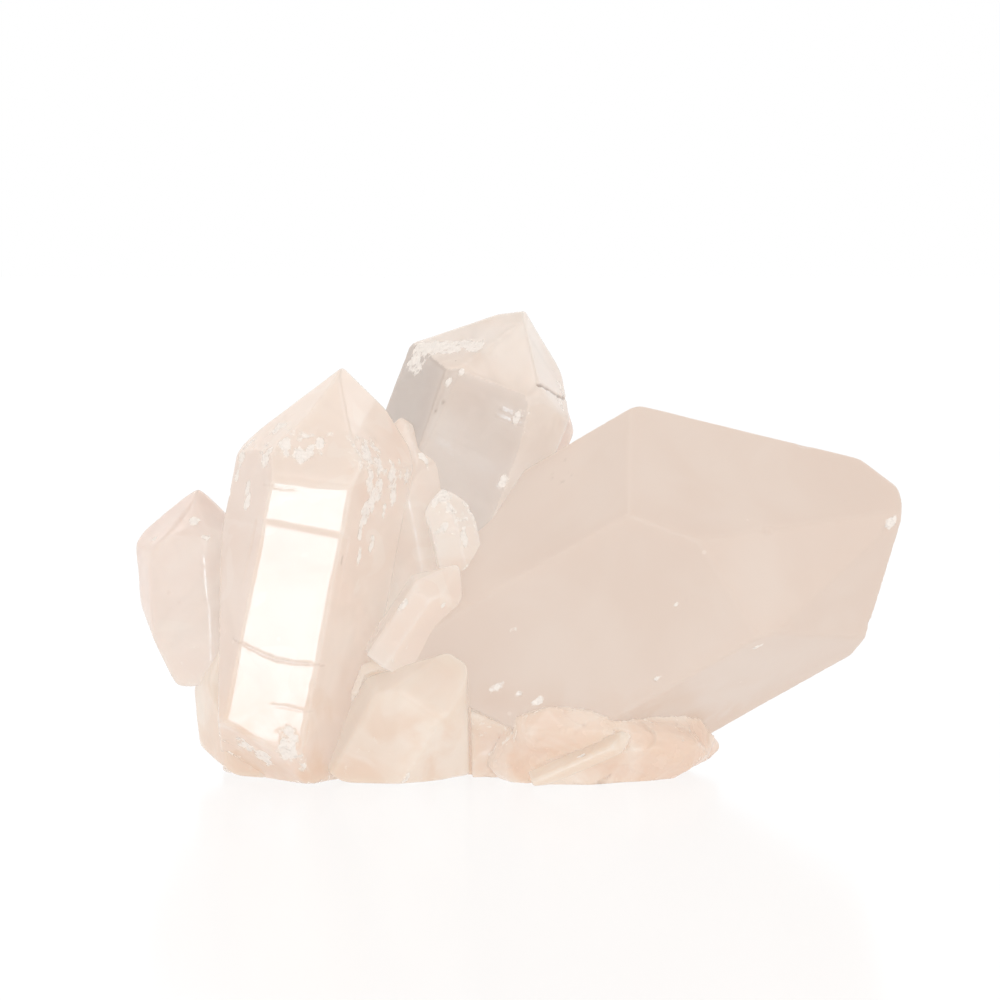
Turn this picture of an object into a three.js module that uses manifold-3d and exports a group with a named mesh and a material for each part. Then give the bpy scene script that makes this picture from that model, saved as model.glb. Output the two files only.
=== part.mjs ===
// A hand-size cluster of milky, peach-coloured quartz crystals.
// Eleven crystals grow out of one lump of massive quartz and lean away from each other.
// Millimetres, +Z up, +X to the right, -Y towards the viewer.
// The origin is on the ground, under the middle of the cluster.

import * as THREE from 'three';
import { ConvexGeometry } from 'three/addons/geometries/ConvexGeometry.js';
import { mergeVertices } from 'three/addons/utils/BufferGeometryUtils.js';
import Module from 'manifold-3d';

// ---------------------------------------------------------------- driving dimensions

// Clearance left between two pieces that have grown together.
const JOINT_GAP = 0.3;

// Rounding errors smaller than this don't matter when faces are made to meet.
const ROUNDING = 1e-5;

// Two corners nearer than this are one corner.
const SAME_CORNER = 1e-3;

// Reaches past the whole cluster in every direction.
const FAR = 400;

// A quartz crystal is a six-sided column under a six-sided point. The usual point face
// tilts this many degrees away from the crystal's own axis.
const CAP = 52;

// Each crystal is described in its own frame: the tip is the origin and its axis is +Z.
//   tip    place of the tip in the cluster
//   right  lean of the axis towards +X, in degrees
//   front  lean of the axis towards the viewer, in degrees
//   turn   twist about the axis, in degrees
//   sides  distance from the axis to each of the six column faces, 60 degrees apart
//   faces  every other flat face as [bearing, slope, reach]: the compass bearing of its
//          normal about the axis, the tilt of its normal from the axis (0 points at the
//          tip, 180 at the root), and its distance from the tip
const CRYSTALS = {
  tall_crystal: {
    tip: [-22.5, -2, 53],
    right: 11,
    front: -4,
    turn: 29,
    sides: [10.5, 9.5, 9.5, 10.5, 10.5, 9],
    faces: [
      [0, CAP, 3], [60, CAP, 0], [120, CAP, 0], [180, CAP, 0.5], [240, CAP, 1], [295, CAP, 0],
      [238, 66, 3.5], [151, 101, 16], [241, 130, 40], [200, 150, 47],
    ],
  },
  large_crystal: {
    tip: [49, -3, 35],
    right: 59,
    front: 12,
    turn: 32,
    sides: [13.5, 18.5, 24, 23.5, 17, 11.5],
    faces: [
      [0, CAP, 1], [60, CAP, 4], [120, CAP, 6], [190, 47, 0], [240, CAP, 0.5], [285, 56, 1],
      [144, 149, 60], [144, 116, 48], [324, 147, 46], [40, 150, 52],
    ],
  },
  front_crystal: {
    tip: [-10, -9, 16.5],
    right: 30,
    front: 6,
    turn: 20,
    sides: [13, 7, 6, 6, 5.5, 7],
    faces: [
      [60, CAP, 0.5], [120, CAP, 0], [180, CAP, 0], [240, CAP, 0.5], [340, 60, 3.5],
      [0, 180, 20],
    ],
  },
  small_inner_crystal: {
    tip: [-8, -7, 28],
    right: 34,
    front: 5,
    turn: 10,
    sides: [3, 4, 4, 3.5, 4, 3],
    faces: [
      [0, CAP, 0.5], [60, CAP, 0.5], [120, CAP, 0], [180, CAP, 0], [240, CAP, 0], [300, CAP, 0],
      [0, 180, 16],
    ],
  },
  shard_crystal: {
    tip: [14.5, -13, 6.2],
    right: 66,
    front: 0,
    turn: 20,
    sides: [1, 2, 1.5, 1, 2, 1.5],
    faces: [
      [0, CAP, 0], [60, CAP, 0.5], [120, CAP, 0.5], [180, 60, 0.5], [240, CAP, 0], [300, CAP, 0],
      [0, 180, 14],
    ],
  },
  left_foot_crystal: {
    tip: [-38, -1, 17],
    right: -6,
    front: 4,
    turn: 25,
    sides: [6, 7, 5, 4, 7, 7],
    faces: [
      [0, CAP, 1], [60, CAP, 1], [120, CAP, 0.5], [180, CAP, 0.5], [240, CAP, 0], [300, CAP, 0],
      [155, 148, 14],
    ],
  },
  back_crystal: {
    tip: [1, 14, 60],
    right: 21,
    front: -6,
    turn: 29,
    sides: [8.5, 9, 11.5, 10.5, 9, 10],
    faces: [
      [0, CAP, 3], [60, CAP, 0], [115, 48, 1.5], [192, 46, 0], [240, CAP, 1], [305, 48, 0],
      [0, 180, 42],
    ],
  },
  stub_crystal: {
    tip: [-10, -1, 37.5],
    right: -12,
    front: 8,
    turn: 15,
    sides: [3, 3.5, 3.5, 3, 3.5, 3.5],
    faces: [
      [0, CAP, 0.5], [60, CAP, 0], [120, CAP, 0], [180, CAP, 0.5], [240, CAP, 0], [300, CAP, 0],
      [0, 180, 18],
    ],
  },
  shoulder_crystal: {
    tip: [-15.5, 7, 46.5],
    right: -11,
    front: -4,
    turn: 10,
    sides: [5.5, 7, 8, 8, 8, 6],
    faces: [
      [0, CAP, 0], [60, CAP, 0], [120, CAP, 0], [180, CAP, 0.5], [240, CAP, 0], [300, CAP, 0.5],
      [0, 180, 34],
    ],
  },
  left_crystal: {
    tip: [-42, 6, 37],
    right: -3,
    front: -4,
    turn: 21,
    sides: [6, 6, 7, 8, 6, 5],
    faces: [
      [0, CAP, 0.5], [60, CAP, 0], [111, 47, 1], [192, 44, 0], [240, CAP, 1], [300, CAP, 0],
      [159, 114, 14], [159, 145, 24.5], [0, 180, 26],
    ],
  },
  back_twin_crystal: {
    tip: [5, 18, 51],
    right: 24,
    front: -10,
    turn: 10,
    sides: [5, 6, 6, 6, 6, 5],
    faces: [
      [0, CAP, 0.5], [60, CAP, 0], [120, CAP, 0], [180, CAP, 0.5], [240, CAP, 0], [300, CAP, 0],
      [0, 180, 32],
    ],
  },
};

// The massive quartz is three rounded lumps grown together.
const LUMPS = [
  { centre: [-9, 5, 8], half: [30, 13, 12] },
  { centre: [9, 0, 4.5], half: [15, 13, 8.5] },
  { centre: [-13, 13, 15], half: [21, 12, 18] },
];
const LUMP_DETAIL = 3;
const LUMP_ROUGHNESS = 0.07;

// ---------------------------------------------------------------- colours

const MILKY = { color: 0xead8ca, roughness: 0.28, metalness: 0 };
const CLEAR = { color: 0xf2e3d6, roughness: 0.12, metalness: 0 };
const GREY = { color: 0xddd0c8, roughness: 0.15, metalness: 0 };
const STAINED = { color: 0xe4c6ae, roughness: 0.6, metalness: 0 };

const FINISHES = {
  tall_crystal: CLEAR,
  large_crystal: MILKY,
  front_crystal: CLEAR,
  small_inner_crystal: CLEAR,
  shard_crystal: CLEAR,
  left_foot_crystal: MILKY,
  back_crystal: GREY,
  shoulder_crystal: MILKY,
  left_crystal: GREY,
  back_twin_crystal: GREY,
  stub_crystal: CLEAR,
};

// ---------------------------------------------------------------- crystals

const radians = THREE.MathUtils.degToRad;
const DOWN = new THREE.Vector3(0, 0, -1);

function faceNormal(bearing, slope) {
  const spread = Math.sin(radians(slope));
  return new THREE.Vector3(
    spread * Math.cos(radians(bearing)),
    spread * Math.sin(radians(bearing)),
    Math.cos(radians(slope)),
  );
}

function placement({ tip, right, front, turn }) {
  const lean = new THREE.Euler(radians(front), radians(right), radians(turn), 'YXZ');
  const matrix = new THREE.Matrix4().makeRotationFromEuler(lean);
  return matrix.setPosition(...tip);
}

// All of a crystal's faces in the cluster's frame, moved outwards by grow. The crystal is
// every point whose distance along each face's normal is at most that face's reach, and
// the last face is the ground that it stands on.
function crystalFaces(crystal, grow) {
  const column = crystal.sides.map((reach, k) => [60 * k, 90, reach]);
  const turned = placement(crystal);
  const tip = new THREE.Vector3(...crystal.tip);
  const faces = [...column, ...crystal.faces].map(([bearing, slope, reach]) => {
    const normal = faceNormal(bearing, slope).transformDirection(turned);
    return { normal, reach: reach + grow + normal.dot(tip) };
  });
  faces.push({ normal: DOWN, reach: grow });
  return faces;
}

// The point where three faces meet, or null when two of them are parallel.
function meetingPoint(a, b, c) {
  const bc = new THREE.Vector3().crossVectors(b.normal, c.normal);
  const ca = new THREE.Vector3().crossVectors(c.normal, a.normal);
  const ab = new THREE.Vector3().crossVectors(a.normal, b.normal);
  const volume = a.normal.dot(bc);
  if (Math.abs(volume) < ROUNDING) return null;
  const point = bc.multiplyScalar(a.reach);
  point.addScaledVector(ca, b.reach);
  point.addScaledVector(ab, c.reach);
  return point.divideScalar(volume);
}

function cornersOf(faces) {
  const found = [];
  for (let i = 0; i < faces.length; i += 1) {
    for (let j = i + 1; j < faces.length; j += 1) {
      for (let k = j + 1; k < faces.length; k += 1) {
        const point = meetingPoint(faces[i], faces[j], faces[k]);
        const inside = point && faces.every(
          (face) => face.normal.dot(point) <= face.reach + ROUNDING,
        );
        const known = inside && found.some((other) => other.distanceTo(point) < SAME_CORNER);
        if (inside && !known) found.push(point);
      }
    }
  }
  return found;
}

function crystalGeometry(crystal, grow = 0) {
  return new ConvexGeometry(cornersOf(crystalFaces(crystal, grow)));
}

// ---------------------------------------------------------------- massive quartz

// A lump is a sphere pressed into an uneven block by three slow waves.
function lumpGeometry({ centre, half }) {
  const geometry = new THREE.IcosahedronGeometry(1, LUMP_DETAIL);
  const position = geometry.attributes.position;
  const point = new THREE.Vector3();
  for (let i = 0; i < position.count; i += 1) {
    point.fromBufferAttribute(position, i);
    const wave = Math.sin(5 * point.x + centre[0])
      + Math.sin(6 * point.y + 2 * point.z)
      + Math.sin(7 * point.z + 3 * point.x);
    point.multiplyScalar(1 + LUMP_ROUGHNESS * wave);
    position.setXYZ(i, point.x, point.y, point.z);
  }
  geometry.scale(...half);
  geometry.translate(...centre);
  return geometry;
}

// ---------------------------------------------------------------- cutting and joining

const wasm = await Module();
wasm.setup();

function toSolid(geometry) {
  const plain = geometry.clone();
  plain.deleteAttribute('normal');
  plain.deleteAttribute('uv');
  const merged = mergeVertices(plain, SAME_CORNER);
  return new wasm.Manifold(new wasm.Mesh({
    numProp: 3,
    vertProperties: new Float32Array(merged.attributes.position.array),
    triVerts: new Uint32Array(merged.index.array),
  }));
}

// Gives every corner the number of the body that it belongs to.
function bodyOfEachCorner(corners, cornerCount) {
  const parent = Array.from({ length: cornerCount }, (unused, i) => i);
  const bodyOf = (corner) => {
    let body = corner;
    while (parent[body] !== body) body = parent[body];
    return body;
  };
  for (let i = 0; i < corners.length; i += 3) {
    parent[bodyOf(corners[i + 1])] = bodyOf(corners[i]);
    parent[bodyOf(corners[i + 2])] = bodyOf(corners[i]);
  }
  return parent.map((unused, corner) => bodyOf(corner));
}

// Six times the volume between a triangle and the origin.
function wedge(points, a, b, c) {
  const [p, q, r] = [a, b, c].map((i) => new THREE.Vector3().fromArray(points, 3 * i));
  return p.dot(q.cross(r));
}

// A cut can leave loose slivers beside a piece: only the largest body is kept.
function toGeometry(solid) {
  const { vertProperties: points, triVerts } = solid.getMesh();
  const corners = Array.from(triVerts);
  const bodies = bodyOfEachCorner(corners, points.length / 3);
  const volumes = new Map();
  for (let i = 0; i < corners.length; i += 3) {
    const body = bodies[corners[i]];
    const added = wedge(points, corners[i], corners[i + 1], corners[i + 2]);
    volumes.set(body, (volumes.get(body) ?? 0) + added);
  }
  const [[largest]] = [...volumes].sort((a, b) => b[1] - a[1]);
  const geometry = new THREE.BufferGeometry();
  geometry.setAttribute('position', new THREE.BufferAttribute(points, 3));
  geometry.setIndex(corners.filter((corner) => bodies[corner] === largest));
  return mergeVertices(geometry.toNonIndexed());
}

// Everything above the ground, as one large block.
function spaceAboveGround() {
  const block = new THREE.BoxGeometry(FAR, FAR, FAR);
  block.translate(0, 0, FAR / 2);
  return toSolid(block);
}

function massiveQuartz() {
  const [first, ...rest] = LUMPS.map((lump) => toSolid(lumpGeometry(lump)));
  const joined = rest.reduce((sum, lump) => sum.add(lump), first);
  return joined.intersect(spaceAboveGround());
}

// ---------------------------------------------------------------- assembly

// A piece is placed by its own frame, so its geometry is brought back into that frame.
function addPiece(group, name, solid, frame, finish) {
  const geometry = toGeometry(solid);
  geometry.applyMatrix4(frame.clone().invert());
  geometry.computeVertexNormals();
  const mesh = new THREE.Mesh(geometry, new THREE.MeshStandardMaterial(finish));
  mesh.name = name;
  mesh.applyMatrix4(frame);
  group.add(mesh);
}

const group = new THREE.Group();

// Crystals are listed from the most complete to the most overgrown: each is cut back
// where it meets the ones before it, and the massive quartz fills in round them all.
const cutters = [];
for (const [name, crystal] of Object.entries(CRYSTALS)) {
  const whole = toSolid(crystalGeometry(crystal));
  const grown = cutters.reduce((left, cutter) => left.subtract(cutter), whole);
  addPiece(group, name, grown, placement(crystal), FINISHES[name]);
  cutters.push(toSolid(crystalGeometry(crystal, JOINT_GAP)));
}

const matrix = cutters.reduce((left, cutter) => left.subtract(cutter), massiveQuartz());
addPiece(group, 'matrix_base', matrix, new THREE.Matrix4(), STAINED);

const size = new THREE.Box3().setFromObject(group, true);
const middle = size.getCenter(new THREE.Vector3());
group.position.set(-middle.x, -middle.y, -size.min.z);

export default group;
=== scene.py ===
import itertools
import math

import bmesh
import bpy
import numpy as np
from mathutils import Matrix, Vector


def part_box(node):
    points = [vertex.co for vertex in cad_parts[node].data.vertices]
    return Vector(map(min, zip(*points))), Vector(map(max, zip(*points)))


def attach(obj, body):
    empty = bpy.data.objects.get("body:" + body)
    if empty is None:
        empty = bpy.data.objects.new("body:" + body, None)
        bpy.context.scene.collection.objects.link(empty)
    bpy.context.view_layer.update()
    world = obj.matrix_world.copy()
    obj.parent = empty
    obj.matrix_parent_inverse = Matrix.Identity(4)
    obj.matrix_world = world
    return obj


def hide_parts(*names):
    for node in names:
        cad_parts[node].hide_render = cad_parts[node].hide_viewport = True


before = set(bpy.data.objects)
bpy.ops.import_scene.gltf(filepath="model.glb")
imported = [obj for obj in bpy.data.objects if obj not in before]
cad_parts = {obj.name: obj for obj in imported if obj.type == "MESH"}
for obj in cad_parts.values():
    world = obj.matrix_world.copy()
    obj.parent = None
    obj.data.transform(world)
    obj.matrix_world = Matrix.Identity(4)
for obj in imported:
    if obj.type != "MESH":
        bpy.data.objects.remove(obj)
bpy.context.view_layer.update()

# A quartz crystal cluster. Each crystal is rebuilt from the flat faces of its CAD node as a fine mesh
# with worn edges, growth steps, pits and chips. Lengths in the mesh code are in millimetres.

# ---------------------------------------------------------------- sizes and settings

MM = 0.001
JOINT_GAP = 0.3  # between neighbouring CAD solids
SINK = 1.0  # how far a crystal reaches into a neighbour that it meets
FAR = 300.0  # half the side of the cube that the crystals are cut from
SLIVER = 0.02  # triangles with less than half this area, in square millimetres, are passed over
SAME_WAY = 0.9998  # two triangles face the same way if their normals' product is above this
OPPOSITE_WAY = -0.999  # and opposite ways if it is below this
SAME_REACH = 0.08  # triangles of one face differ by less than this in reach
TOUCHING = 0.12  # two solids meet where the gap between them is this close to JOINT_GAP
OUTERMOST = 0.05  # no corner of a solid lies further than this beyond its outer faces
SETTLE_ROUNDS = 5
BITE_LIFT = 0.35  # how much of the lift a bite takes on
UNWORN = 0.02  # rounding of the edges before they are worn
EDGE_REACH = 0.8  # how far from an edge its mark fades
SIDE_LEAN = 0.12  # a face is a prism side if its normal leans less than this along the axis
STEP_SPACING = 5.0  # of the growth steps
FLAKE_SIZE = 1.3  # of the broken flakes on frosted parts
FLAKE_DEPTH = 0.14
PIT_SPACING = 1.1
PIT_DEPTH = 0.12
PIT_DARKNESS = 0.35
MATRIX_VOXEL = 0.3
MATRIX_SWELL = 0.4  # how far the massive quartz bulges where no crystal is near
CRUMB_SPACING = 0.9
CRUMB_HEIGHT = 0.25

# right, front: the lean of a crystal's axis in degrees, as in the CAD model.
# voxel: size of the mesh's cells. rounding: how far its edges are worn.
# warp: slow unevenness of its faces. steps: height of the growth steps on its sides.
# chips: how many bites are broken out of its edges, of the size bite.
# frosted: stretches below the tip, as (from, to, amount). pits: share of the surface that is pitted.
# cleaved: flat pieces split off, as (right, front, up, cut, roughness): the way the break faces, how
# deep it cuts, and how rough it is.
# Places on a crystal are given as (below, bearing): the distance below its tip, and the angle in
# degrees round its axis, from the front towards the right.
# crushed: patches of small facets, painted near-white, partly as crushed quartz and partly as a painted
# highlight, as (below, bearing, radius).
# cracks: grooves across it, as (below, width, depth, waviness, darkness, first bearing, last bearing).
# shaded_faces: faces painted greyer than the rest as painted shade, as (right, front, up, amount), given
# by the way they face.
# ledges: steps across it, as (below, width, depth, first bearing, last bearing).
# Only some crystals have shaded_faces and ledges.
CRYSTALS = {
    "tall_crystal": dict(
        right=11, front=-4, seed=11, voxel=0.23, rounding=0.12, warp=0.008, steps=0.006,
        chips=12, bite=1.2, frosted=[(8, 13.5, 0.6), (49, 60, 0.6)], pits=0.05,
        cleaved=[(-0.75, 0.3, 0.75, 0.5, 0.5), (0.1, 0.75, -0.65, 0.7, 0.7)],
        crushed=[(9.4, -58, 1.5), (12.2, -20, 1.0), (11.3, -13, 1.1), (10.5, -7, 1.0), (10.2, 36, 1.2),
                 (11.5, 50, 1.0), (12.5, 70, 1.3), (14.5, 55, 1.2), (16.5, 48, 1.3), (18.3, 43, 1.2),
                 (20.3, 41, 0.8), (14.8, 78, 1.0), (17.2, 70, 0.7), (19.4, -56, 1.0), (17.5, -60, 0.8),
                 (12.8, -42, 1.2), (11.0, -34, 1.0), (21.5, 60, 0.9), (23.5, 46, 0.8), (13.4, 40, 1.0),
                 (16.4, -80, 0.8), (14.2, -79, 0.9), (12.0, -80, 0.9), (50, -22, 2.2), (51, -5, 2.4),
                 (49.3, 12, 2.0)],
        cracks=[(16.7, 0.3, 0.04, 0.1, 0.1, -40, -16), (37.6, 0.35, 0.08, 1.6, 0.2, -40, 29),
                (44.0, 0.3, 0.05, 0.2, 0.12, -4, 26), (24.4, 1.2, 0.3, 0.0, 0.9, 26.4, 26.8)],
        shaded_faces=[(-0.85, 0.48, 0.2, 0.25)],
        ledges=[(21.3, 0.9, 0.16, -40, 29)],
        slot="clear_quartz", look="clear"),
    "large_crystal": dict(
        right=59, front=12, seed=12, voxel=0.36, rounding=0.13, warp=0.05, steps=0.0,
        chips=12, bite=1.6, frosted=[(58, 75, 0.2)], pits=0.0,
        cleaved=[(0.55, 0.1, 0.8, 0.6, 0.0), (0.9, 0.4, 0.1, 0.5, 0.0), (0.75, 0.2, 0.6, 0.5, 0.1)],
        crushed=[(23, 19, 0.6), (2.1, 27, 0.9), (54.5, -19, 0.6), (52.6, -13, 0.4), (51.0, -7, 0.6),
                 (48.7, 1, 0.7), (46.8, 8, 0.6), (48.8, -32, 0.5), (28.7, -13, 0.35), (36, 8, 0.35)],
        cracks=[],
        slot="milky_quartz", look="milky"),
    "front_crystal": dict(
        right=30, front=6, seed=13, voxel=0.22, rounding=0.2, warp=0.06, steps=0.02,
        chips=6, bite=1.2, frosted=[(13, 30, 0.3)], pits=0.0,
        cleaved=[(0.85, 0.6, 0.0, 1.0, 0.1)], crushed=[(16, 5, 0.7)],
        cracks=[],
        slot="clear_quartz", look="peach"),
    "small_inner_crystal": dict(
        right=34, front=5, seed=14, voxel=0.17, rounding=0.15, warp=0.05, steps=0.02,
        chips=4, bite=0.8, frosted=[(10, 20, 0.3)], pits=0.0,
        cleaved=[], crushed=[(5, 30, 0.5), (8, -40, 0.6)], cracks=[],
        slot="clear_quartz", look="bright"),
    "shard_crystal": dict(
        right=66, front=0, seed=15, voxel=0.12, rounding=0.1, warp=0.06, steps=0.02,
        chips=4, bite=0.7, frosted=[(0, 20, 0.2)], pits=0.0,
        cleaved=[], crushed=[(7, -10, 0.7)], cracks=[],
        slot="clear_quartz", look="peach"),
    "left_foot_crystal": dict(
        right=-6, front=4, seed=16, voxel=0.22, rounding=0.25, warp=0.08, steps=0.02,
        chips=6, bite=1.2, frosted=[(8, 30, 0.3)], pits=0.0,
        cleaved=[], crushed=[(12, 10, 0.7)], cracks=[],
        slot="milky_quartz", look="peach"),
    "back_crystal": dict(
        right=21, front=-6, seed=17, voxel=0.24, rounding=0.14, warp=0.03, steps=0.02,
        chips=8, bite=1.4, frosted=[(2, 4, 0.2)], pits=0.0,
        cleaved=[(-0.42, 0.9, 0.3, 0.6, 0.1), (0.6, 0.7, 0.3, 0.9, 0.1), (0.75, 0.6, -0.1, 0.8, 0.3)],
        crushed=[(9.9, -82, 2.2), (9.0, -72, 2.4), (8.0, -58, 2.2), (7.2, -42, 1.6), (14.6, 21, 0.8),
                 (22.7, 27, 0.8), (11.4, -27, 0.7), (13.0, -33, 0.6), (9.6, 72, 1.1), (7.6, 92, 1.0)],
        cracks=[(8.6, 0.4, 0.25, 0.8, 0.8, 30, 110), (14.0, 0.35, 0.1, 0.3, 0.0, 8, 30),
                (15.0, 0.3, 0.1, 0.2, 0.0, 6, 28), (15.9, 0.6, 0.3, 0.0, 0.8, -31.6, -31),
                (17.4, 0.5, 0.3, 0.0, 0.7, -34.6, -34)],
        shaded_faces=[(-0.8, 0.48, 0.36, 1.0), (0.02, 0.99, 0.1, 0.45), (-0.42, 0.9, 0.3, 0.65)],
        slot="grey_quartz", look="grey"),
    "stub_crystal": dict(
        right=-12, front=8, seed=18, voxel=0.15, rounding=0.12, warp=0.1, steps=0.03,
        chips=8, bite=0.9, frosted=[(0, 20, 0.5)], pits=0.0,
        cleaved=[(0.5, 0.6, 0.6, 0.5, 0.6), (-0.3, 0.8, 0.4, 0.4, 0.5)],
        crushed=[(2.4, 16, 1.2), (1.5, -60, 1.0), (1.2, -15, 1.2), (4.5, -12, 0.9), (6.5, 25, 0.8)],
        cracks=[],
        slot="clear_quartz", look="bright"),
    "shoulder_crystal": dict(
        right=-11, front=-4, seed=19, voxel=0.24, rounding=0.25, warp=0.08, steps=0.03,
        chips=6, bite=1.2, frosted=[(0, 8, 0.3)], pits=0.0,
        cleaved=[], crushed=[(6, 20, 1.0)], cracks=[],
        slot="milky_quartz", look="clear"),
    "left_crystal": dict(
        right=-3, front=-4, seed=20, voxel=0.22, rounding=0.3, warp=0.1, steps=0.02,
        chips=8, bite=1.2, frosted=[(19, 30, 0.3)], pits=0.0,
        cleaved=[(0.2, 0.75, 0.6, 0.45, 0.7), (-0.7, 0.5, 0.45, 0.5, 0.3)],
        crushed=[(4.4, -10, 0.9), (6.4, -62, 0.6)], cracks=[],
        slot="grey_quartz", look="left"),
    "back_twin_crystal": dict(
        right=24, front=-10, seed=21, voxel=0.22, rounding=0.18, warp=0.06, steps=0.02,
        chips=6, bite=1.2, frosted=[(0, 3, 0.3)], pits=0.0,
        cleaved=[], crushed=[(3, 60, 0.8)], cracks=[],
        slot="grey_quartz", look="left"),
}


# ---------------------------------------------------------------- noise

def random_at(cells, seed):
    """A fixed random number from 0 to 1 for each whole-numbered cell. Large odd numbers mix the bits."""
    mixed = cells[:, 0] * 374761393 + cells[:, 1] * 668265263 + cells[:, 2] * 974634777 + seed * 362437
    mixed = mixed & 0xFFFFFFFF
    mixed = ((mixed ^ (mixed >> 13)) * 1274126177) & 0xFFFFFFFF
    mixed = ((mixed ^ (mixed >> 16)) * 1103515245) & 0xFFFFFFFF
    return ((mixed ^ (mixed >> 15)) & 0xFFFFFF) / float(0xFFFFFF)


def bumps(points, size, seed):
    """Smooth noise from -1 to 1 whose bumps are about size across."""
    place = points / size
    cell = np.floor(place).astype(np.int64)
    part = place - cell
    part = part * part * (3 - 2 * part)
    total = np.zeros(len(points))
    for corner in itertools.product((0, 1), repeat=3):
        weight = np.prod(np.where(np.array(corner) == 1, part, 1 - part), axis=1)
        total += weight * random_at(cell + np.array(corner), seed)
    return 2 * total - 1


def rough_bumps(points, size, seed, layers=3):
    """Noise from about -1 to 1 with finer bumps laid over coarser ones."""
    total = np.zeros(len(points))
    for layer in range(layers):
        total += bumps(points, size / 2 ** layer, seed + layer) / 2 ** layer
    return total / 1.6


def seeds_around(places, seed):
    """Each cell has one seed at a random spot in it. For the 27 cells around each place, gives the
    cells, and the arms from their seeds to the places."""
    cell = np.floor(places).astype(np.int64)
    for step in itertools.product((-1, 0, 1), repeat=3):
        other = cell + np.array(step)
        spot = other + np.stack([random_at(other, seed + k) for k in (1, 2, 3)], axis=1)
        yield other, places - spot


def scattered(points, size, seed):
    """Distance from each point to the nearest of some scattered seeds, and that seed's random number."""
    nearest = np.full(len(points), 9.0)
    number = np.zeros(len(points))
    for cells, arm in seeds_around(points / size, seed):
        distance = np.linalg.norm(arm, axis=1)
        closer = distance < nearest
        nearest = np.where(closer, distance, nearest)
        number = np.where(closer, random_at(cells, seed + 4), number)
    return nearest * size, number


def broken_facets(points, size, seed):
    """Heights, in the same units as size, of flat facets about size across that tilt at random."""
    places = points / size + 0.25 * bumps(points, size / 2, seed + 9)[:, None]
    nearest = np.full(len(points), 9.0)
    height = np.zeros(len(points))
    for cells, arm in seeds_around(places, seed):
        tilt = np.stack([random_at(cells, seed + k) for k in (4, 5, 6)], axis=1) - 0.5
        distance = np.linalg.norm(arm, axis=1)
        closer = distance < nearest
        nearest = np.where(closer, distance, nearest)
        height = np.where(closer, (arm * tilt).sum(axis=1), height)
    return height * size


def ramp(values, low, high):
    """0 below low, 1 above high, smooth between."""
    part = np.clip((values - low) / (high - low), 0, 1)
    return part * part * (3 - 2 * part)


# ---------------------------------------------------------------- crystals from the CAD faces

def flat_faces(node):
    """The normals and reaches of a CAD node's flat faces, in millimetres, each found once."""
    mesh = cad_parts[node].data
    corners = np.array([v.co for v in mesh.vertices]) / MM
    found = []
    for polygon in mesh.polygons:
        a, b, c = corners[list(polygon.vertices)[:3]]
        normal = np.cross(b - a, c - a)
        length = np.linalg.norm(normal)
        if length < SLIVER:
            continue
        normal = normal / length
        reach = float(normal @ a)
        for face in found:
            if face[0] @ normal > SAME_WAY and abs(face[1] - reach) < SAME_REACH:
                break
        else:
            found.append((normal, reach))
    return [face for face in found if (corners @ face[0]).max() - face[1] < OUTERMOST]


def hull_of(node, all_faces):
    """The faces of the whole crystal. Where it meets a neighbour, its face is sunk into the neighbour."""
    normals = []
    reaches = []
    for normal, reach in all_faces[node]:
        touching = False
        for other, faces in all_faces.items():
            if other != node:
                touching = touching or any(
                    n @ normal < OPPOSITE_WAY and abs(r + reach + JOINT_GAP) < TOUCHING
                    for n, r in faces)
        normals.append(normal)
        reaches.append(reach + (SINK if touching else 0.0))
    low, high = (np.array(corner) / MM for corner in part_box(node))
    for axis in range(3):
        side = np.zeros(3)
        side[axis] = 1.0
        normals += [side, -side]
        reaches += [high[axis] + SINK, SINK - low[axis]]
    reaches[-1] = -low[2]  # nothing goes below the ground
    return np.array(normals), np.array(reaches)


def block_from_faces(normals, reaches):
    """A bmesh of the space behind all the faces."""
    mesh = bmesh.new()
    bmesh.ops.create_cube(mesh, size=2 * FAR)
    for normal, reach in zip(normals, reaches):
        cut = bmesh.ops.bisect_plane(
            mesh, geom=mesh.verts[:] + mesh.edges[:] + mesh.faces[:], dist=1e-5,
            plane_co=normal * reach, plane_no=normal, clear_outer=True)
        rim = [item for item in cut["geom_cut"] if isinstance(item, bmesh.types.BMEdge)]
        if len(rim) >= 3:
            bmesh.ops.contextual_create(mesh, geom=rim)
    bmesh.ops.recalc_face_normals(mesh, faces=mesh.faces[:])
    return mesh


def fine_points(block, voxel):
    """Vertices and faces of an even, dense skin over a block."""
    data = bpy.data.meshes.new("block")
    block.to_mesh(data)
    holder = bpy.data.objects.new("block", data)
    bpy.context.scene.collection.objects.link(holder)
    remesh = holder.modifiers.new("skin", "REMESH")
    remesh.mode = "VOXEL"
    remesh.voxel_size = voxel
    shown = holder.evaluated_get(bpy.context.evaluated_depsgraph_get())
    skin = bpy.data.meshes.new_from_object(shown)
    points = np.zeros(len(skin.vertices) * 3)
    skin.vertices.foreach_get("co", points)
    faces = [tuple(polygon.vertices) for polygon in skin.polygons]
    bpy.data.objects.remove(holder)
    bpy.data.meshes.remove(data)
    bpy.data.meshes.remove(skin)
    return points.reshape(-1, 3), faces


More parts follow.
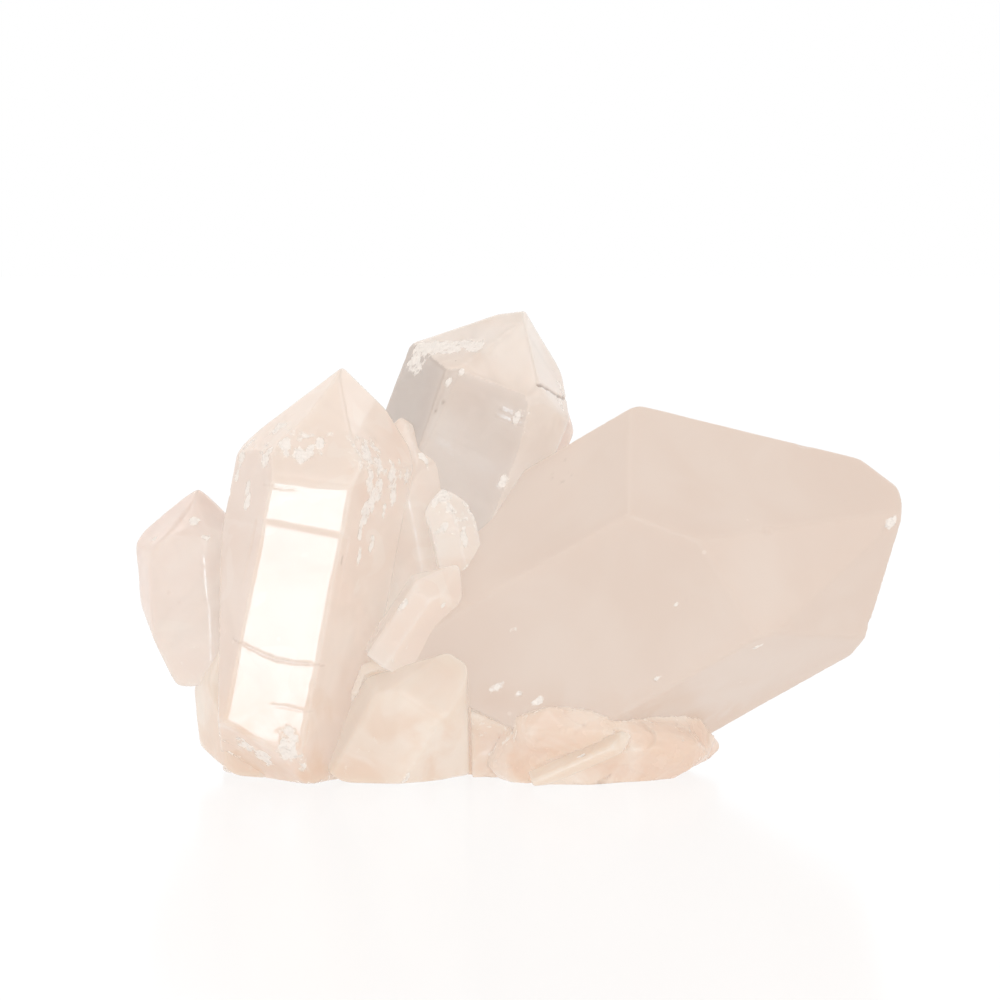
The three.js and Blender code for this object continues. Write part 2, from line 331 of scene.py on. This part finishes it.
def edge_bites(block, look):
    """Centres and radii of the round bites that break a crystal's edges."""
    dice = np.random.default_rng(look["seed"])
    edges = [edge for edge in block.edges if edge.calc_length() > look["bite"]]
    lengths = np.array([edge.calc_length() for edge in edges])
    bites = []
    for index in dice.choice(len(edges), size=look["chips"], p=lengths / lengths.sum()):
        edge = edges[index]
        ends = [np.array(vert.co) for vert in edge.verts]
        out = sum((np.array(face.normal) for face in edge.link_faces), np.zeros(3))
        out = out / np.linalg.norm(out)
        radius = look["bite"] * dice.uniform(0.5, 1.6)
        depth = look["bite"] * dice.uniform(0.08, 0.3)
        along = dice.uniform(0.05, 0.95)
        place = ends[0] * (1 - along) + ends[1] * along
        bites.append((place + out * (radius - depth), radius))
    return bites


def crystal_directions(look):
    """A crystal's axis, and the directions square to it that point to the front and to the right."""
    right = math.radians(look["right"])
    front = math.radians(look["front"])
    axis = np.array([
        math.cos(front) * math.sin(right), -math.sin(front), math.cos(front) * math.cos(right)])
    to_front = np.array([0.0, -1.0, 0.0]) + axis * axis[1]
    to_front = to_front / np.linalg.norm(to_front)
    return axis, to_front, np.cross(axis, to_front)


def cleave(look, normals, reaches):
    """Adds the faces left where flat pieces have split off, and returns each face's roughness."""
    block = block_from_faces(normals, reaches)
    corners = np.array([vert.co for vert in block.verts])
    block.free()
    rough = [0.0] * len(reaches)
    for right, front, up, cut, roughness in look["cleaved"]:
        normal = np.array([right, -front, up])
        normal = normal / np.linalg.norm(normal)
        normals = np.vstack([normals, normal])
        reaches = np.append(reaches, (corners @ normal).max() - cut)
        rough.append(roughness)
    return normals, reaches, np.array(rough)


def surface_point(place, tip, directions, normals, reaches):
    """The point of the crystal's surface at (below, bearing)."""
    axis, to_front, to_right = directions
    below, bearing = place
    turn = math.radians(bearing)
    start = tip - axis * below
    out = to_front * math.cos(turn) + to_right * math.sin(turn)
    ahead = normals @ out
    facing = ahead > 0.01
    return start + out * ((reaches - normals @ start)[facing] / ahead[facing]).min()


def crushed_area(points, look, tip, directions, normals, reaches):
    """1 inside the crushed patches, 0 outside. They are ragged, and longer along the crystal's axis."""
    axis = directions[0]
    ragged = 1 + 0.8 * rough_bumps(points, 1.8, look["seed"] + 80)
    area = np.zeros(len(points))
    for below, bearing, radius in look["crushed"]:
        centre = surface_point((below, bearing), tip, directions, normals, reaches)
        arm = points - centre
        arm -= 0.45 * np.outer(arm @ axis, axis)
        away = np.linalg.norm(arm, axis=1) * ragged / radius
        area = np.maximum(area, 1 - ramp(away, 0.3, 1.3))
    return area


def shaded_face_amount(facing, look):
    """How much painted shade greys each point, from 0 to 1, by the way its face faces."""
    area = np.zeros(len(facing))
    for right, front, up, amount in look.get("shaded_faces", []):
        towards = np.array([right, -front, up])
        towards = towards / np.linalg.norm(towards)
        area = np.maximum(area, amount * ramp(facing @ towards, 0.93, 0.985))
    return area


def place_on_crystal(points, tip, directions):
    """How far each point lies below the tip, and its bearing round the axis in degrees."""
    axis, to_front, to_right = directions
    arm = points - tip
    return -arm @ axis, np.degrees(np.arctan2(arm @ to_right, arm @ to_front))


def ledge_depth(below, bearing, look):
    """Depth of the growth ledges: a step down, and a slow rise back over the next few millimetres."""
    depth = np.zeros(len(below))
    for start, width, deep, first, last in look.get("ledges", []):
        past = (below - start) / width
        along = ramp(bearing, first - 1, first + 1) * (1 - ramp(bearing, last - 1, last + 1))
        depth += deep * along * ramp(past, -0.5, 0.5) * (1 - ramp(past, 1.0, 12.0))
    return depth


def crack_depth(points, below, bearing, look):
    """Depth of the cracks at each point, and how dark they are there, from 0 to 1."""
    depth = np.zeros(len(points))
    mark = np.zeros(len(points))
    for start, width, deep, waviness, darkness, first, last in look["cracks"]:
        wave = waviness * bumps(points, 6.0, look["seed"] + 90)
        wave += 0.15 * bumps(points, 0.9, look["seed"] + 91)
        away = np.abs(below - start - wave) / (width / 2)
        along = ramp(bearing, first - 1, first + 1) * (1 - ramp(bearing, last - 1, last + 1))
        inside = along * (1 - ramp(away, 0.4, 1.2))
        depth = np.maximum(depth, deep * inside)
        mark = np.maximum(mark, darkness * inside)
    return depth, mark


def settle(points, normals, reaches, bites, rounding, lift):
    """Moves points onto the crystal's worn surface, raised by lift."""
    for _ in range(SETTLE_ROUNDS):
        beyond = points @ normals.T - reaches
        furthest = beyond.max(axis=1)
        weight = np.exp((beyond - furthest[:, None]) / rounding[:, None])
        total = weight.sum(axis=1)
        height = furthest + rounding * np.log(total) - lift
        slope = (weight / total[:, None]) @ normals
        for centre, radius in bites:
            arm = points - centre
            distance = np.linalg.norm(arm, axis=1)
            inside = radius - distance + BITE_LIFT * lift
            bitten = inside > height
            height = np.where(bitten, inside, height)
            slope = np.where(bitten[:, None], -arm / distance[:, None], slope)
        points = points - slope * (height / (slope * slope).sum(axis=1))[:, None]
    return points


def frost_amount(points, below, face_rough, look):
    """How frosted each point is, from 0 to 1, apart from the crushed patches."""
    frost = np.zeros(len(points))
    for start, end, amount in look["frosted"]:
        stretch = ramp(below, start - 1, start + 1) * (1 - ramp(below, end - 1, end + 1))
        frost = np.maximum(frost, amount * stretch)
    frost = np.maximum(frost, face_rough)
    return frost * ramp(rough_bumps(points, 3.0, look["seed"] + 30), -0.1, 0.2)


def pit_amount(points, look):
    """1 at the middle of each pit, 0 outside. Pits come in groups."""
    distance, number = scattered(points, PIT_SPACING, look["seed"] + 50)
    groups = rough_bumps(points, 6.0, look["seed"] + 60)
    pitted = ramp(groups, 0.55 - 2 * look["pits"], 0.8 - 2 * look["pits"])
    return (1 - ramp(distance, 0.05, 0.4)) * (number < 0.8) * pitted


def uneven_lift(points, below, side, frost, look):
    """Height of the growth steps, the slow warp and the broken flakes."""
    seed = look["seed"]
    drift = below / STEP_SPACING + 0.5 * bumps(points, 14.0, seed + 40)
    step_part = drift - np.floor(drift)
    lift = look["steps"] * side * (ramp(step_part, 0.0, 0.06) - step_part)
    lift += look["warp"] * bumps(points, 8.0, seed + 1)
    lift += 0.3 * look["warp"] * bumps(points, 2.5, seed + 2)
    lift += FLAKE_DEPTH * frost * broken_facets(points, FLAKE_SIZE, seed + 3)
    return lift


def build_crystal(name, look, all_faces):
    """One crystal: an even skin over its hull, marked for the material and moved onto its worn,
    broken surface."""
    normals, reaches, rough = cleave(look, *hull_of(name, all_faces))
    block = block_from_faces(normals, reaches)
    directions = crystal_directions(look)
    axis = directions[0]
    corners = np.array([vert.co for vert in block.verts])
    tip = corners[(corners @ axis).argmax()]
    bites = edge_bites(block, look)
    points, faces = fine_points(block, look["voxel"])
    block.free()

    unworn = np.full(len(points), UNWORN)
    points = settle(points, normals, reaches, [], unworn, np.zeros(len(points)))
    below, bearing = place_on_crystal(points, tip, directions)
    beyond = points @ normals.T - reaches
    face = beyond.argmax(axis=1)
    beyond = np.sort(beyond, axis=1)
    edge = np.exp((beyond[:, -2] - beyond[:, -1]) / EDGE_REACH)
    side = (np.abs(normals[face] @ axis) < SIDE_LEAN).astype(float)
    # Painted shade: whole faces that face given ways are marked to be greyed.
    painted_shade = shaded_face_amount(normals[face], look)
    crushed = crushed_area(points, look, tip, directions, normals, reaches)
    frost = np.maximum(frost_amount(points, below, rough[face], look), crushed)
    crack, in_crack = crack_depth(points, below, bearing, look)
    ledge = ledge_depth(below, bearing, look)
    pit = pit_amount(points, look)

    lift = uneven_lift(points, below, side, frost, look) - (PIT_DEPTH * pit + crack + ledge)
    wear = ramp(bumps(points, 5.0, look["seed"] + 70), -0.5, 0.8)
    rounding = look["rounding"] * (0.7 + 0.6 * wear)
    points = settle(points, normals, reaches, bites, rounding, lift)
    points[:, 2] = np.maximum(points[:, 2], 0.0)
    marks = {
        "below": below, "frost": frost, "edge": edge, "side": side,
        "pit": np.maximum(PIT_DARKNESS * pit, in_crack), "painted_shade": painted_shade,
    }
    return add_piece("quartz_" + name, points, faces, marks, name, MATERIALS[look["look"]])


def add_piece(piece_name, points, faces, marks, node, material):
    """Makes a mesh piece that stands for a CAD node. Its marks are values at its vertices, which the
    material reads."""
    data = bpy.data.meshes.new(piece_name)
    data.from_pydata((points * MM).tolist(), [], faces)
    for mark, values in marks.items():
        layer = data.attributes.new(mark, "FLOAT", "POINT")
        layer.data.foreach_set("value", values.astype(np.float32))
    data.shade_smooth()
    data.materials.append(material)
    piece = bpy.data.objects.new(piece_name, data)
    bpy.context.scene.collection.objects.link(piece)
    piece.visible_diffuse = False  # soft light reaches each crystal through its translucent neighbours
    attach(piece, "root")
    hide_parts(node)
    return piece


# ---------------------------------------------------------------- massive quartz

def outward_normals(points, faces):
    skin = bpy.data.meshes.new("skin")
    skin.from_pydata(points.tolist(), [], faces)
    outward = np.zeros(len(points) * 3)
    skin.vertices.foreach_get("normal", outward)
    bpy.data.meshes.remove(skin)
    return outward.reshape(-1, 3)


def build_matrix(all_faces):
    """The massive quartz between the crystals: its CAD solid, swollen where no crystal is near, with
    broken facets and a seam of crumbs along the large crystal."""
    node = "matrix_base"
    block = bmesh.new()
    block.from_mesh(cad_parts[node].data)
    bmesh.ops.scale(block, vec=(1 / MM,) * 3, verts=block.verts[:])
    points, skin_faces = fine_points(block, MATRIX_VOXEL)
    block.free()
    outward = outward_normals(points, skin_faces)

    gaps = {
        name: np.max([points @ normal - reach for normal, reach in faces], axis=0)
        for name, faces in all_faces.items()}
    open_part = ramp(np.min(list(gaps.values()), axis=0), 0.3, 2.5)
    seam = 1 - ramp(gaps["large_crystal"], 0.5, 1.3)
    crumb, number = scattered(points, CRUMB_SPACING, 9)
    lift = MATRIX_SWELL + 0.1 * broken_facets(points, 7.0, 5) + 0.03 * broken_facets(points, 2.5, 6)
    lift *= open_part
    lift += seam * (CRUMB_HEIGHT * number * (1 - ramp(crumb, 0.1, 0.7)))
    points = points + outward * lift[:, None]
    points[:, 2] = np.maximum(points[:, 2], 0.0)

    crumbly = 0.5 * seam * ramp(number, 0.5, 0.8)
    sugary = 0.4 * ramp(rough_bumps(points, 3.0, 21), 0.3, 0.5)
    unmarked = np.zeros(len(points))
    marks = {
        "below": points[:, 2], "frost": np.maximum(crumbly, sugary), "edge": unmarked,
        "side": unmarked, "pit": unmarked, "painted_shade": unmarked,
    }
    return add_piece(
        "quartz_matrix", points, skin_faces, marks, node, MATERIALS["stained"])


# ---------------------------------------------------------------- materials

def add_node(tree, kind, values=None, **settings):
    """Adds a shader node. values are plain numbers for its sockets, or sockets to link to them."""
    made = tree.nodes.new("ShaderNode" + kind)
    for key, setting in settings.items():
        setattr(made, key, setting)
    for socket, value in (values or {}).items():
        if isinstance(value, bpy.types.NodeSocket):
            tree.links.new(value, made.inputs[socket])
        else:
            made.inputs[socket].default_value = value
    return made


def mark_value(tree, mark):
    return add_node(tree, "Attribute", attribute_name=mark).outputs["Fac"]


def math_value(tree, operation, first, second):
    return add_node(tree, "Math", {0: first, 1: second}, operation=operation).outputs[0]


def between(tree, value, low, high, out_low=0.0, out_high=1.0):
    """value from low..high mapped to out_low..out_high, held at the ends."""
    values = {"Value": value, "From Min": low, "From Max": high, "To Min": out_low, "To Max": out_high}
    return add_node(tree, "MapRange", values, interpolation_type="SMOOTHSTEP").outputs[0]


def mixed_colour(tree, amount, first, second):
    made = tree.nodes.new("ShaderNodeMix")
    made.data_type = "RGBA"
    for socket, value in zip((made.inputs[0], made.inputs[6], made.inputs[7]), (amount, first, second)):
        if isinstance(value, bpy.types.NodeSocket):
            tree.links.new(value, socket)
        else:
            socket.default_value = value
    return made.outputs[2]


def noise_value(tree, place, size_mm, detail=3.0, distortion=0.0):
    values = {"Vector": place, "Scale": 1 / (size_mm * MM), "Detail": detail, "Distortion": distortion}
    return add_node(tree, "TexNoise", values).outputs["Fac"]


def cell_facets(tree, place, size_mm):
    """Height in metres of flat facets about size_mm across, each tilted its own way."""
    cells = add_node(tree, "TexVoronoi", {"Vector": place, "Scale": 1 / (size_mm * MM)})
    arm = add_node(tree, "VectorMath", {0: place, 1: cells.outputs["Position"]}, operation="SUBTRACT")
    tilt = add_node(
        tree, "VectorMath", {0: cells.outputs["Color"], 1: (0.5, 0.5, 0.5)}, operation="SUBTRACT")
    values = {0: arm.outputs[0], 1: tilt.outputs[0]}
    return add_node(tree, "VectorMath", values, operation="DOT_PRODUCT").outputs["Value"]


def specks(tree, place, spacing_mm, size):
    """1 in small dots, on one cell in four or so."""
    cells = add_node(tree, "TexVoronoi", {"Vector": place, "Scale": 1 / (spacing_mm * MM)})
    chosen = add_node(tree, "SeparateXYZ", {0: cells.outputs["Color"]}).outputs["X"]
    dot = between(tree, cells.outputs["Distance"], size * 0.6, size, 1.0, 0.0)
    return math_value(tree, "MULTIPLY", dot, between(tree, chosen, 0.7, 0.75))


def crushed_flecks(tree, place, frost):
    """0 to 1: solid crushed quartz where frost is high, and scattered flecks where it is low."""
    grain = math_value(tree, "SUBTRACT", noise_value(tree, place, 0.9, 5.0), 0.5)
    level = math_value(tree, "ADD", frost, math_value(tree, "MULTIPLY", grain, 1.8))
    return math_value(tree, "MULTIPLY", between(tree, level, 0.45, 0.95), between(tree, frost, 0.0, 0.1))


def rgb(red, green, blue):
    """A colour given as 0-255 values, as a linear colour."""
    linear = [((c / 255 + 0.055) / 1.055) ** 2.4 for c in (red, green, blue)]
    return (*linear, 1.0)


def quartz_colour(tree, place, flecks, light, deep, stain, planes, edge_shade, stained_height):
    """Milk in soft clouds, pale inner fracture planes, dust specks and iron stain near the ground."""
    clouds = between(tree, noise_value(tree, place, 17.0, 3.0, 0.5), 0.36, 0.64)
    colour = mixed_colour(tree, clouds, deep, light)
    mottled = between(tree, noise_value(tree, place, 2.6, 3.0), 0.3, 0.8, 0.0, 0.06)
    colour = mixed_colour(tree, mottled, colour, deep)
    plane = between(tree, noise_value(tree, place, 7.5, 1.5, 1.1), 0.585, 0.62, 0.0, planes)
    colour = mixed_colour(tree, plane, colour, PALE)
    # Faces picked by the way they face are greyed: painted shade.
    painted_shade = math_value(tree, "MULTIPLY", mark_value(tree, "painted_shade"), 0.8)
    colour = mixed_colour(tree, painted_shade, colour, SHADE_GREY)

    height = add_node(tree, "SeparateXYZ", {0: place}).outputs["Z"]
    low_down = between(tree, height, 0.0, stained_height * MM, 1.0, 0.0)
    blotch = between(tree, noise_value(tree, place, 8.0, 4.0, 0.8), 0.38, 0.62)
    colour = mixed_colour(tree, math_value(tree, "MULTIPLY", low_down, blotch), colour, stain)
    # Along the edges the colour is darkened towards deep: painted shade that tones down the highlight on
    # the ridges.
    painted_edge_shade = math_value(tree, "MULTIPLY", mark_value(tree, "edge"), edge_shade)
    colour = mixed_colour(tree, painted_edge_shade, colour, deep)

    pale_dots = math_value(tree, "MULTIPLY", specks(tree, place, 5.0, 0.07), 0.3)
    colour = mixed_colour(tree, pale_dots, colour, PALE)
    dark_dots = math_value(tree, "MULTIPLY", specks(tree, place, 8.0, 0.018), 0.4)
    colour = mixed_colour(tree, dark_dots, colour, DARK_BROWN)
    # Crushed quartz is painted near-white: partly its own colour, partly a painted highlight for the glint
    # of its broken faces.
    colour = mixed_colour(tree, flecks, colour, CRUSHED_WHITE_AND_GLINT)
    # Grey specks among the crushed facets: painted shade between the facets.
    facet_shade_amount = between(tree, mark_value(tree, "frost"), 0.5, 0.9, 0.0, 0.4)
    painted_facet_shade = math_value(tree, "MULTIPLY", specks(tree, place, 1.2, 0.14), facet_shade_amount)
    colour = mixed_colour(tree, painted_facet_shade, colour, FACET_SHADE)
    # Pits and cracks are darkened towards the dark brown of the specks.
    in_pit = math_value(tree, "MULTIPLY", mark_value(tree, "pit"), 0.7)
    return mixed_colour(tree, in_pit, colour, DARK_BROWN)


def quartz_relief(tree, place, flecks):
    """Height in metres of fine growth lines on the prism sides, a satin grain, and crushed facets."""
    down = math_value(tree, "MULTIPLY", mark_value(tree, "below"), LINES_PER_MM)
    lines = add_node(
        tree, "TexNoise", {"W": down, "Scale": 1.0, "Detail": 4.0}, noise_dimensions="1D").outputs["Fac"]
    on_sides = math_value(tree, "MULTIPLY", mark_value(tree, "side"), LINE_HEIGHT)
    lines = math_value(tree, "MULTIPLY", lines, on_sides)
    grain = math_value(tree, "MULTIPLY", noise_value(tree, place, 0.5, 4.0), GRAIN_HEIGHT)
    facets = math_value(tree, "ADD", cell_facets(tree, place, 0.9), cell_facets(tree, place, 0.4))
    crushed = math_value(tree, "MULTIPLY", facets, math_value(tree, "MULTIPLY", flecks, 0.3))
    return math_value(tree, "ADD", crushed, math_value(tree, "ADD", lines, grain))


def quartz_material(name, light, deep, stain, clearness, gloss_rough, planes, edge_shade, stained_height,
                    scatter=0.4):
    """Translucent quartz. light and deep are its cloudy colours, and stain is the iron stain, which
    fades out at stained_height. clearness is how much light goes straight through, and scatter how much
    spreads inside. planes is how far its inner fracture planes show, and edge_shade how far its colour
    is darkened along the edges, as painted shade along the ridges."""
    material = bpy.data.materials.new(name)
    material.use_nodes = True
    tree = material.node_tree
    shader = tree.nodes["Principled BSDF"]
    place = add_node(tree, "TexCoord").outputs["Object"]
    flecks = crushed_flecks(tree, place, mark_value(tree, "frost"))
    colour = quartz_colour(tree, place, flecks, light, deep, stain, planes, edge_shade, stained_height)
    tree.links.new(colour, shader.inputs["Base Color"])

    smear = between(tree, noise_value(tree, place, 3.0, 4.0), 0.35, 0.75, 0.0, 0.04)
    rough = between(tree, flecks, 0.0, 1.0, gloss_rough, CRUSHED_ROUGHNESS)
    tree.links.new(math_value(tree, "ADD", rough, smear), shader.inputs["Roughness"])
    if clearness > 0:
        haze = noise_value(tree, place, 11.0, 2.0, 0.8)
        cleared = between(tree, haze, 0.35, 0.65, 0.6 * clearness, clearness)
        clear = math_value(tree, "MULTIPLY", cleared, between(tree, flecks, 0.0, 1.0, 1.0, 0.3))
        tree.links.new(clear, shader.inputs["Transmission Weight"])
    shader.inputs["IOR"].default_value = QUARTZ_IOR
    tree.links.new(between(tree, flecks, 0.0, 1.0, scatter, 0.0), shader.inputs["Subsurface Weight"])
    shader.inputs["Subsurface Radius"].default_value = SCATTER_TINT
    shader.inputs["Subsurface Scale"].default_value = SCATTER_REACH

    relief = quartz_relief(tree, place, flecks)
    bump = add_node(tree, "Bump", {"Height": relief, "Strength": 1.0, "Distance": 1.0})
    tree.links.new(bump.outputs["Normal"], shader.inputs["Normal"])
    return material


PALE = rgb(254, 240, 229)
CRUSHED_WHITE_AND_GLINT = rgb(255, 244, 234)
CRUSHED_ROUGHNESS = 0.42
FACET_SHADE = rgb(178, 158, 146)
SHADE_GREY = rgb(197, 185, 177)
DARK_BROWN = rgb(120, 92, 70)
QUARTZ_IOR = 1.544
SCATTER_TINT = (1.0, 0.93, 0.87)
SCATTER_REACH = 2.5 * MM
LINES_PER_MM = 2.2
LINE_HEIGHT = 0.0015 * MM
GRAIN_HEIGHT = 0.003 * MM

MATERIALS = {
    "clear": quartz_material(
        "quartz_clear", rgb(250, 231, 218), rgb(245, 223, 208), rgb(239, 211, 189),
        clearness=0.22, gloss_rough=0.04, planes=0.3, edge_shade=0.05, stained_height=20),
    "peach": quartz_material(
        "quartz_peach", rgb(248, 232, 218), rgb(243, 224, 208), rgb(240, 215, 195),
        clearness=0.1, gloss_rough=0.14, planes=0.15, edge_shade=0.2, stained_height=22),
    "bright": quartz_material(
        "quartz_bright", rgb(251, 235, 224), rgb(246, 226, 212), rgb(240, 214, 193),
        clearness=0.12, gloss_rough=0.12, planes=0.3, edge_shade=0.1, stained_height=10),
    "milky": quartz_material(
        "quartz_milky", rgb(233, 214, 200), rgb(230, 209, 194), rgb(226, 198, 177),
        clearness=0.0, gloss_rough=0.36, planes=0.0, edge_shade=0.6, stained_height=16, scatter=0.2),
    "grey": quartz_material(
        "quartz_grey", rgb(247, 234, 224), rgb(240, 224, 211), rgb(236, 215, 197),
        clearness=0.28, gloss_rough=0.05, planes=0.2, edge_shade=0.2, stained_height=20),
    "left": quartz_material(
        "quartz_left", rgb(250, 233, 222), rgb(243, 222, 210), rgb(246, 221, 202),
        clearness=0.22, gloss_rough=0.1, planes=0.25, edge_shade=0.2, stained_height=16),
    "stained": quartz_material(
        "quartz_stained", rgb(246, 226, 210), rgb(243, 219, 201), rgb(238, 207, 184),
        clearness=0.0, gloss_rough=0.25, planes=0.1, edge_shade=0.0, stained_height=16, scatter=0.3),
}


# ---------------------------------------------------------------- studio

FLOOR_HALF = 3.0
FLOOR_GLOW = 0.737
SOFT_LIGHT = 0.97
BRIGHTER_TOWARDS = (0.04, -0.03, -0.02)
DARK_CARD = 0.25
BRIGHT_CARD = 1.5
CAMERA_AIM = Vector((-0.0022, -0.0048, 0.0357))
CAMERA_DISTANCE = 0.6
CAMERA_ELEVATION = math.radians(4)
CAMERA_LENS = 165.9
CAMERA_SENSOR = 36


def floor_material():
    material = bpy.data.materials.new("floor")
    material.use_nodes = True
    tree = material.node_tree
    tree.nodes.clear()
    matte = add_node(tree, "BsdfDiffuse", {"Color": (0.3, 0.3, 0.3, 1)}).outputs[0]
    glow = add_node(tree, "Emission", {"Color": (1, 1, 1, 1), "Strength": FLOOR_GLOW}).outputs[0]
    lit = add_node(tree, "AddShader", {0: matte, 1: glow}).outputs[0]
    sheen = add_node(tree, "BsdfGlossy", {"Color": (1, 1, 1, 1), "Roughness": 0.16}).outputs[0]
    both = add_node(tree, "MixShader", {0: 0.2, 1: lit, 2: sheen}).outputs[0]
    add_node(tree, "OutputMaterial", {"Surface": both})
    return material


def build_floor():
    half = FLOOR_HALF
    corners = [(-half, -half, 0), (half, -half, 0), (half, half, 0), (-half, half, 0)]
    data = bpy.data.meshes.new("floor")
    data.from_pydata(corners, [], [(0, 1, 2, 3)])
    data.materials.append(floor_material())
    floor = bpy.data.objects.new("floor", data)
    bpy.context.scene.collection.objects.link(floor)


def build_world():
    """A white room. Clear parts see dark and bright cards in it, and so does gloss that looks upwards,
    but the wall behind, the mirrored wall in the floor and what the camera sees are plain white."""
    world = bpy.data.worlds.new("studio")
    bpy.context.scene.world = world
    world.use_nodes = True
    tree = world.node_tree
    tree.nodes.clear()
    direction = add_node(tree, "TexCoord").outputs["Generated"]
    values = {0: direction, 1: BRIGHTER_TOWARDS}
    leaning = add_node(tree, "VectorMath", values, operation="DOT_PRODUCT").outputs["Value"]
    soft = math_value(tree, "ADD", leaning, SOFT_LIGHT)
    pattern = add_node(tree, "TexNoise", {"Vector": direction, "Scale": 1.6, "Detail": 1.0}).outputs["Fac"]
    cards = between(tree, pattern, 0.42, 0.58, DARK_CARD, BRIGHT_CARD)
    path = add_node(tree, "LightPath")
    parts = add_node(tree, "SeparateXYZ", {0: direction})
    behind = between(tree, parts.outputs["Y"], 0.5, 0.85)
    low = between(tree, parts.outputs["Z"], 0.2, 0.45, 1.0, 0.0)
    low_gloss = math_value(tree, "MULTIPLY", low, path.outputs["Is Glossy Ray"])
    plain = math_value(tree, "MAXIMUM", behind, low_gloss)
    room = add_node(tree, "Mix", {0: plain, 2: cards, 3: 1.0}).outputs[0]
    sharp = math_value(tree, "MAXIMUM", path.outputs["Is Glossy Ray"], path.outputs["Is Transmission Ray"])
    lit = add_node(tree, "Mix", {0: sharp, 2: soft, 3: room}).outputs[0]
    strength = add_node(tree, "Mix", {0: path.outputs["Is Camera Ray"], 2: lit, 3: 1.0}).outputs[0]
    back = add_node(tree, "Background", {"Color": (1, 1, 1, 1), "Strength": strength}).outputs[0]
    add_node(tree, "OutputWorld", {"Surface": back})


def area_light(name, place, aim, size, watts, colour=(1, 1, 1)):
    data = bpy.data.lights.new(name, "AREA")
    data.color = colour
    data.shape = "RECTANGLE"
    data.size, data.size_y = size
    data.energy = watts
    light = bpy.data.objects.new(name, data)
    bpy.context.scene.collection.objects.link(light)
    light.location = place
    light.rotation_euler = (Vector(aim) - Vector(place)).to_track_quat("-Z", "Y").to_euler()


def build_camera():
    data = bpy.data.cameras.new("camera")
    data.lens = CAMERA_LENS
    data.sensor_width = CAMERA_SENSOR
    camera = bpy.data.objects.new("camera", data)
    bpy.context.scene.collection.objects.link(camera)
    back = Vector((0, -math.cos(CAMERA_ELEVATION), math.sin(CAMERA_ELEVATION)))
    camera.location = CAMERA_AIM + back * CAMERA_DISTANCE
    camera.rotation_euler = (-back).to_track_quat("-Z", "Y").to_euler()
    bpy.context.scene.camera = camera


def set_up_view():
    scene = bpy.context.scene
    scene.view_settings.view_transform = "Standard"
    scene.view_settings.look = "None"
    scene.cycles.use_denoising = True
    scene.cycles.max_bounces = 10
    scene.cycles.transmission_bounces = 10


build_camera()
set_up_view()
build_world()
build_floor()
area_light(
    "front_box", place=(-0.075, -1.0, 0.085), aim=(-0.028, 0, 0.02), size=(0.17, 0.16), watts=0.5,
    colour=(0.66, 0.86, 1.0))
area_light("top_box", place=(-0.25, 0.1, 0.9), aim=(0, 0, 0.03), size=(0.6, 0.6), watts=0.5)

ALL_FACES = {name: flat_faces(name) for name in CRYSTALS}
for crystal_name, crystal_look in CRYSTALS.items():
    build_crystal(crystal_name, crystal_look, ALL_FACES)
build_matrix(ALL_FACES)
